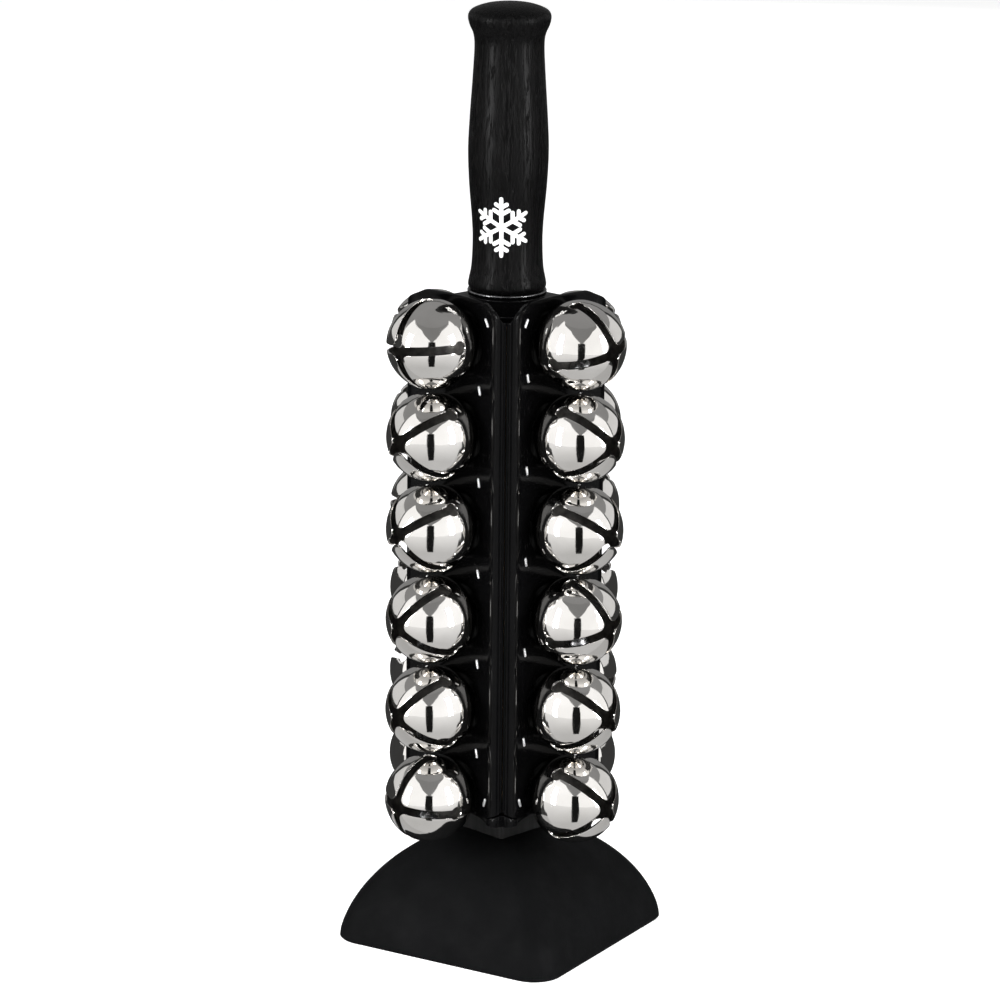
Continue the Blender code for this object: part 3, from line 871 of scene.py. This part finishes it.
def add_core_post():
    """The post with its edges broken, bored for the tenon and the screw."""
    low, high = (Vector(corner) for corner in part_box("core_post"))
    half = high.x
    corner = 1.2 * MM
    socket = TENON_RADIUS + 0.3 * MM
    socket_floor, bore_top = 199.7 * MM, 61.0 * MM
    outline = []
    for quarter in range(4):
        for step in range(5):
            angle = (quarter + step / 4) * math.pi / 2
            x = (half - corner) * (1 if quarter in (0, 3) else -1) + corner * math.cos(angle)
            y = (half - corner) * (1 if quarter in (0, 1) else -1) + corner * math.sin(angle)
            outline.append(Vector((x, y, 0)))
    levels = (
        (SCREW_BORE, bore_top),
        (SCREW_BORE, low.z),
        (None, low.z),
        (None, high.z),
        (socket, high.z),
        (socket, socket_floor),
    )
    rings = []
    for radius, height in levels:
        ring = []
        for point in outline:
            flat = point if radius is None else point.normalized() * radius
            ring.append(flat + Vector((0, 0, height)))
        rings.append(ring)
    bm = bmesh.new()
    grid(bm, [ring + [ring[0]] for ring in rings])
    for end in (rings[0], rings[-1]):
        bm.faces.new([bm.verts.new(point) for point in end])
    mesh = mesh_from("core_post", bm, merge=WELD)
    mesh.set_sharp_from_angle(angle=math.radians(40))
    add_piece("core_post_wood", mesh, "stick", BARE_WOOD, ("core_post",))


# ---------------------------------------------------------------- handle


def handle_radius(height):
    """Radius of the grip at a height, read off its profile."""
    for low, high in zip(GRIP, GRIP[1:]):
        if low.y <= height <= high.y:
            share = (height - low.y) / max(high.y - low.y, 1e-9)
            return low.x + share * (high.x - low.x)
    return GRIP[0].x


GRIP = [Vector((max(point[0], 0.0), point[1])) * MM for point in smooth_path(HANDLE_PROFILE, 6)]


def add_handle():
    """The turned grip and its tenon."""
    low, _ = (Vector(corner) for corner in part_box("handle_grip"))
    tenon, ease = TENON_RADIUS, 0.6 * MM
    profile = [(0.0, low.z), (tenon - ease, low.z), (tenon, low.z + ease), (tenon, GRIP[0].y)]
    profile += [(GRIP[0].x - 0.5 * MM, GRIP[0].y)] + [tuple(point) for point in GRIP]
    mesh = turned("handle_grip", profile, 128)
    mesh.set_sharp_from_angle(angle=math.radians(50))
    add_piece("handle_grip_turning", mesh, "stick", BLACK_WOOD, ("handle_grip",))


def add_collar_ring():
    """The thin ring under the grip, its edge half round."""
    low, high = (Vector(corner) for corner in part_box("collar_ring"))
    inner, outer = TENON_RADIUS + 0.4 * MM, high.x
    rounding = (high.z - low.z) / 2
    profile = [(inner, low.z), (inner, high.z)]
    steps = 8
    for step in range(steps + 1):
        angle = math.pi / 2 - math.pi * step / steps
        radius = outer - rounding + rounding * math.cos(angle)
        profile.append((radius, low.z + rounding * (1 + math.sin(angle))))
    profile.append((inner, low.z))
    mesh = turned("collar_ring", list(reversed(profile)), 128)
    mesh.set_sharp_from_angle(angle=math.radians(50))
    add_piece("collar_ring_band", mesh, "stick", DARK_METAL, ("collar_ring",))


def snowflake_strokes(size):
    """Six arms with two pairs of twigs each, as (start, end) points in the plane."""
    strokes = []
    for arm in range(6):
        turn = Matrix.Rotation(arm * math.pi / 3, 2)
        strokes.append((Vector((0, 0)), turn @ Vector((0, size))))
        for reach, twig in ((0.45, 0.3), (0.7, 0.22)):
            for hand in (-1, 1):
                tip = Vector((hand * twig * size * math.sin(math.pi / 3), (reach + twig / 2) * size))
                strokes.append((turn @ Vector((0, reach * size)), turn @ tip))
    return strokes


def stroke_grid(start, end, width, steps=10, across=3):
    """Rows of plane points over one stroke with round ends."""
    along = (end - start).normalized()
    side = Vector((-along.y, along.x))
    length = (end - start).length
    rows = []
    for step in range(steps + 1):
        share = step / steps
        ease = math.sin(math.pi * (share - 0.5)) / 2 + 0.5
        reach = -width / 2 + ease * (length + width)
        beyond = max(-reach, reach - length, 0.0)
        half = math.sqrt(max((width / 2) ** 2 - beyond**2, 1e-12))
        rows.append([start + along * reach + side * half * (2 * i / across - 1) for i in range(across + 1)])
    return rows


def add_handle_print():
    """A plain snowflake printed on the grip, low on its front."""
    middle_z, size, width = 271.5 * MM, 10.5 * MM, 1.5 * MM
    # A little to the left of the corner that the camera looks at
    facing = CAMERA_AZIMUTH - math.pi / 2 - math.radians(10)
    lift = 0.05 * MM
    bm = bmesh.new()
    for start, end in snowflake_strokes(size):
        rows = []
        for row in stroke_grid(start, end, width):
            points = []
            for point in row:
                height = middle_z + point.y
                radius = handle_radius(height) + lift
                angle = facing + point.x / radius
                points.append((radius * math.cos(angle), radius * math.sin(angle), height))
            rows.append(points)
        grid(bm, rows)
        # Strokes cross, so each lies a hair above the last.
        lift += 0.002 * MM
    mesh = mesh_from("handle_print", bm)
    for polygon in mesh.polygons:
        if polygon.normal.dot(Vector((*polygon.center[:2], 0))) < 0:
            polygon.flip()
    add_piece("handle_print", mesh, "stick", INK)


# ---------------------------------------------------------------- foot


def rounded_square(half, corner, steps, straight):
    """Points round a square with rounded corners, with points along its sides too."""
    points = []
    middle = half - corner
    for quarter in range(4):
        turn = Matrix.Rotation(quarter * math.pi / 2, 2)
        for step in range(steps + 1):
            angle = step / steps * math.pi / 2
            round_corner = Vector((math.cos(angle), math.sin(angle))) * corner
            points.append(turn @ (Vector((middle, middle)) + round_corner))
        for step in range(1, straight):
            points.append(turn @ Vector((middle - 2 * middle * step / straight, half)))
    return points


def foot_scale(height):
    """The dome's width at a height, as a share of its width at the floor."""
    return math.sqrt(max(1 - (height / FOOT_DOME) ** 1.6, 0.0))


def foot_ring(scale, height, draw_in=0.0):
    """A level outline of the foot."""
    turn = Matrix.Rotation(FOOT_TURN, 2)
    ring = []
    for point in rounded_square(FOOT_HALF * scale - draw_in, FOOT_CORNER * max(scale, 0.25), 10, 14):
        flat = turn @ point
        ring.append(Vector((flat.x, flat.y, height)))
    return ring


def foot_circle(radius, height):
    """A circle with a point for each point of the foot's outlines."""
    up = Vector((0, 0, height))
    return [Vector((point.x, point.y, 0)).normalized() * radius + up for point in foot_ring(1.0, 0)]


def add_foot():
    """The domed foot: a rolled lower edge, a bore, a pocket beneath for the washer, a flat seat on top."""
    _, high = (Vector(corner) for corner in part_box("foot"))
    rings = [
        foot_circle(FOOT_BORE, WASHER_POCKET_TOP),
        foot_circle(WASHER_POCKET, WASHER_POCKET_TOP),
        foot_circle(WASHER_POCKET, 0.4 * MM),
        foot_circle(WASHER_POCKET + 0.5 * MM, 0.0),
        foot_ring(1.0, 0.0, 1.0 * MM),
        foot_ring(1.0, 0.15 * MM, 0.4 * MM),
        foot_ring(1.0, 0.6 * MM, 0.08 * MM),
    ]
    steps, rolled_edge = 44, 1.0 * MM
    for step in range(1, steps + 1):
        height = rolled_edge + (high.z - rolled_edge) * math.sin(step / steps * math.pi / 2)
        rings.append(foot_ring(foot_scale(height), height))
    rings.append(foot_circle(FOOT_BORE, high.z))
    mesh = lofted("foot", rings)
    mesh.set_sharp_from_angle(angle=math.radians(50))
    add_piece("foot_moulding", mesh, "foot", RUBBER, ("foot",))


def add_foot_fastening():
    """The washer and the socket-head screw, its thread as plain rings."""
    low, high = (Vector(corner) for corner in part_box("foot_washer"))
    inner, outer, ease = SCREW_BORE, high.x, 0.25 * MM
    profile = [(inner, low.z), (outer - ease, low.z), (outer, low.z + ease), (outer, high.z - ease)]
    profile += [(outer - ease, high.z), (inner, high.z), (inner, low.z)]
    washer = turned("foot_washer", profile, 64)
    washer.set_sharp_from_angle(angle=math.radians(30))
    add_piece("foot_washer_plate", washer, "foot", STEEL, ("foot_washer",))
    low, high = (Vector(corner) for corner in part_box("foot_screw"))
    head, shank, socket = high.x, 3.0 * MM, 2.5 * MM
    head_top = low.z + 3.2 * MM
    socket_end = low.z + 1.8 * MM
    profile = [(0.0, socket_end), (socket, socket_end), (socket, low.z), (head - 1.0 * MM, low.z)]
    profile += [(head - 0.3 * MM, low.z + 0.35 * MM), (head, low.z + 1.1 * MM), (head, head_top)]
    profile.append((shank, head_top))
    turns, depth = 34, 0.45 * MM
    thread_start = head_top + 6 * MM
    for step in range(turns * 2):
        height = thread_start + step / (turns * 2) * (high.z - head_top - 8 * MM)
        profile.append((shank - depth * (step % 2), height))
    profile += [(shank - 0.8 * MM, high.z - 0.6 * MM), (0.0, high.z)]
    screw = turned("foot_screw", profile, 48)
    screw.set_sharp_from_angle(angle=math.radians(30))
    add_piece("foot_screw_turning", screw, "stick", STEEL, ("foot_screw",))


# ---------------------------------------------------------------- studio


def softbox_material(name, strength, falls_to=1.0):
    """A lit diffuser, a little uneven. Its light falls to a share of its strength well below the floor."""
    material = bpy.data.materials.new(name)
    material.use_nodes = True
    tree = material.node_tree
    tree.nodes.clear()
    place = tree.nodes.new("ShaderNodeTexCoord")
    uneven = tree.nodes.new("ShaderNodeTexNoise")
    uneven.inputs["Scale"].default_value = 0.8
    tree.links.new(place.outputs["Object"], uneven.inputs["Vector"])
    ramp = tree.nodes.new("ShaderNodeValToRGB")
    ramp.color_ramp.elements[0].color = (0.92, 0.92, 0.92, 1)
    tree.links.new(uneven.outputs["Fac"], ramp.inputs["Fac"])
    glow = tree.nodes.new("ShaderNodeEmission")
    parts = tree.nodes.new("ShaderNodeSeparateXYZ")
    tree.links.new(place.outputs["Object"], parts.inputs["Vector"])
    fall = tree.nodes.new("ShaderNodeMapRange")
    low, floor = (-1.2, falls_to * strength), (0.0, strength)
    for end, (height, glow_there) in (("Min", low), ("Max", floor)):
        fall.inputs[f"From {end}"].default_value = height
        fall.inputs[f"To {end}"].default_value = glow_there
    tree.links.new(parts.outputs["Z"], fall.inputs["Value"])
    tree.links.new(fall.outputs["Result"], glow.inputs["Strength"])
    tree.links.new(ramp.outputs["Color"], glow.inputs["Color"])
    out = tree.nodes.new("ShaderNodeOutputMaterial")
    tree.links.new(glow.outputs["Emission"], out.inputs["Surface"])
    return material


def drawn_back(elevation):
    """How far a softbox's inner side leans back from the middle, in degrees, at an elevation."""
    lean_starts, lean_steepens = 22.0, 47.0
    gentle = min(max(elevation - lean_starts, 0.0), lean_steepens - lean_starts)
    return 1.25 * gentle + 4.8 * max(elevation - lean_steepens, 0.0)


def add_card(name, azimuths, elevations, distance, material, hand=0):
    """A curved card round the object, between two azimuths from the camera's and two elevations, in degrees.

    With a hand, its first side draws back towards that hand as it rises.
    """
    centre = Vector((0, 0, 0.15))
    steps_up, steps_round = 24, 16
    rows = []
    for i in range(steps_up + 1):
        elevation = math.radians(elevations[0] + (elevations[1] - elevations[0]) * i / steps_up)
        row = []
        first = azimuths[0] + hand * drawn_back(math.degrees(elevation))
        for j in range(steps_round + 1):
            azimuth = CAMERA_AZIMUTH + math.radians(first + (azimuths[1] - first) * j / steps_round)
            level = math.cos(elevation)
            away = Vector((math.sin(azimuth) * level, -math.cos(azimuth) * level, math.sin(elevation)))
            row.append(centre + distance * away)
        rows.append(row)
    bm = bmesh.new()
    grid(bm, rows)
    mesh = mesh_from(name, bm)
    mesh.materials.append(material)
    card = bpy.data.objects.new(name, mesh)
    bpy.context.scene.collection.objects.link(card)
    card.visible_camera = False
    card.visible_shadow = False


def add_room():
    """The world: white to the camera, a dark room to everything else."""
    world = bpy.data.worlds.new("studio")
    bpy.context.scene.world = world
    world.use_nodes = True
    tree = world.node_tree
    background = tree.nodes["Background"]
    background.inputs["Color"].default_value = (1, 1, 1, 1)
    view = tree.nodes.new("ShaderNodeLightPath")
    strength = tree.nodes.new("ShaderNodeMapRange")
    strength.inputs["To Min"].default_value = ROOM_GREY
    strength.inputs["To Max"].default_value = 1.0
    tree.links.new(view.outputs["Is Camera Ray"], strength.inputs["Value"])
    tree.links.new(strength.outputs["Result"], background.inputs["Strength"])


def add_cards():
    """A softbox at each side with a narrow gap between them, grey ceilings, a white sweep below."""
    box = softbox_material("softbox_diffuser", SOFTBOX_GLOW)
    core = softbox_material("softbox_core", CORE_GLOW)
    side = softbox_material("side_diffuser", SIDE_GLOW)
    for hand, name in ((-1, "left"), (1, "right")):
        add_card(f"{name}_softbox", (hand * 4.5, hand * 88), (-8, 57), 1.9, box, hand)
        add_card(f"{name}_softbox_core", (hand * 50, hand * 62), (-24, 32), 1.85, core)
        add_card(f"{name}_side_card", (hand * 92, hand * 140), (6, 34), 1.9, side)
    # (name, azimuths, elevations, distance, glow, the share that it falls to below the floor)
    cards = (
        ("white_sweep", (-80, 80), (-88, -8), 1.8, SWEEP_GLOW, 0.6),
        ("ceiling", (0, 360), (56, 89.9), 2.2, CEILING_GLOW, 1.0),
        ("rear_ceiling", (86, 274), (34, 57), 2.2, CEILING_GLOW, 1.0),
        ("front_ceiling", (-86, 86), (2, 58), 2.3, CEILING_GLOW * 0.85, 1.0),
        ("side_sweep", (80, 280), (-88, -34), 1.8, SWEEP_GLOW * 0.5, 1.0),
        ("backdrop", (150, 210), (-5, 30), 2.3, BACKDROP_GLOW, 1.0),
        ("camera_stand", (-8.5, 8.5), (-46, 20), 1.5, 0.01, 1.0),
    )
    for name, azimuths, elevations, distance, glow, falls_to in cards:
        material = softbox_material(f"lit_{name}", glow, falls_to)
        add_card(name, azimuths, elevations, distance, material)


def add_floor():
    """A pale floor that the bells don't mirror."""
    bpy.ops.mesh.primitive_plane_add(size=12)
    floor = bpy.context.object
    floor.name = "floor"
    floor.visible_glossy = False
    nodes = Nodes("pale_floor")
    nodes.set("Base Color", nodes.ramp(nodes.noise(3, 2), (0.3, (0.9, 0.9, 0.9)), (0.7, (0.93, 0.93, 0.93))))
    nodes.set("Roughness", 0.9)
    nodes.set("Emission Color", (1, 1, 1, 1))
    nodes.set("Emission Strength", FLOOR_GLOW)
    floor.data.materials.append(nodes.material)


def add_camera():
    """In front of the corner between the front and right faces, looking down a little with a long lens."""
    camera = bpy.data.cameras.new("camera")
    camera.lens = CAMERA_LENS
    camera.sensor_width = 36
    camera.clip_start, camera.clip_end = 0.05, 50
    thing = bpy.data.objects.new("camera", camera)
    bpy.context.scene.collection.objects.link(thing)
    across, back = math.sin(CAMERA_AZIMUTH), -math.cos(CAMERA_AZIMUTH)
    thing.location = (CAMERA_AWAY * across, CAMERA_AWAY * back, CAMERA_HEIGHT)
    heading = Matrix.Rotation(CAMERA_AZIMUTH + CAMERA_YAW, 4, "Z")
    heading @= Matrix.Rotation(math.pi / 2 - CAMERA_DIP, 4, "X")
    thing.rotation_euler = (heading @ Matrix.Rotation(CAMERA_ROLL, 4, "Z")).to_euler()
    bpy.context.scene.camera = thing


def main():
    add_bells()
    add_panels()
    add_top_cap()
    add_bottom_plate()
    add_core_post()
    add_handle()
    add_collar_ring()
    add_handle_print()
    add_foot()
    add_foot_fastening()
    add_room()
    add_cards()
    add_floor()
    add_camera()
    bpy.context.scene.view_settings.view_transform = "Standard"


main()
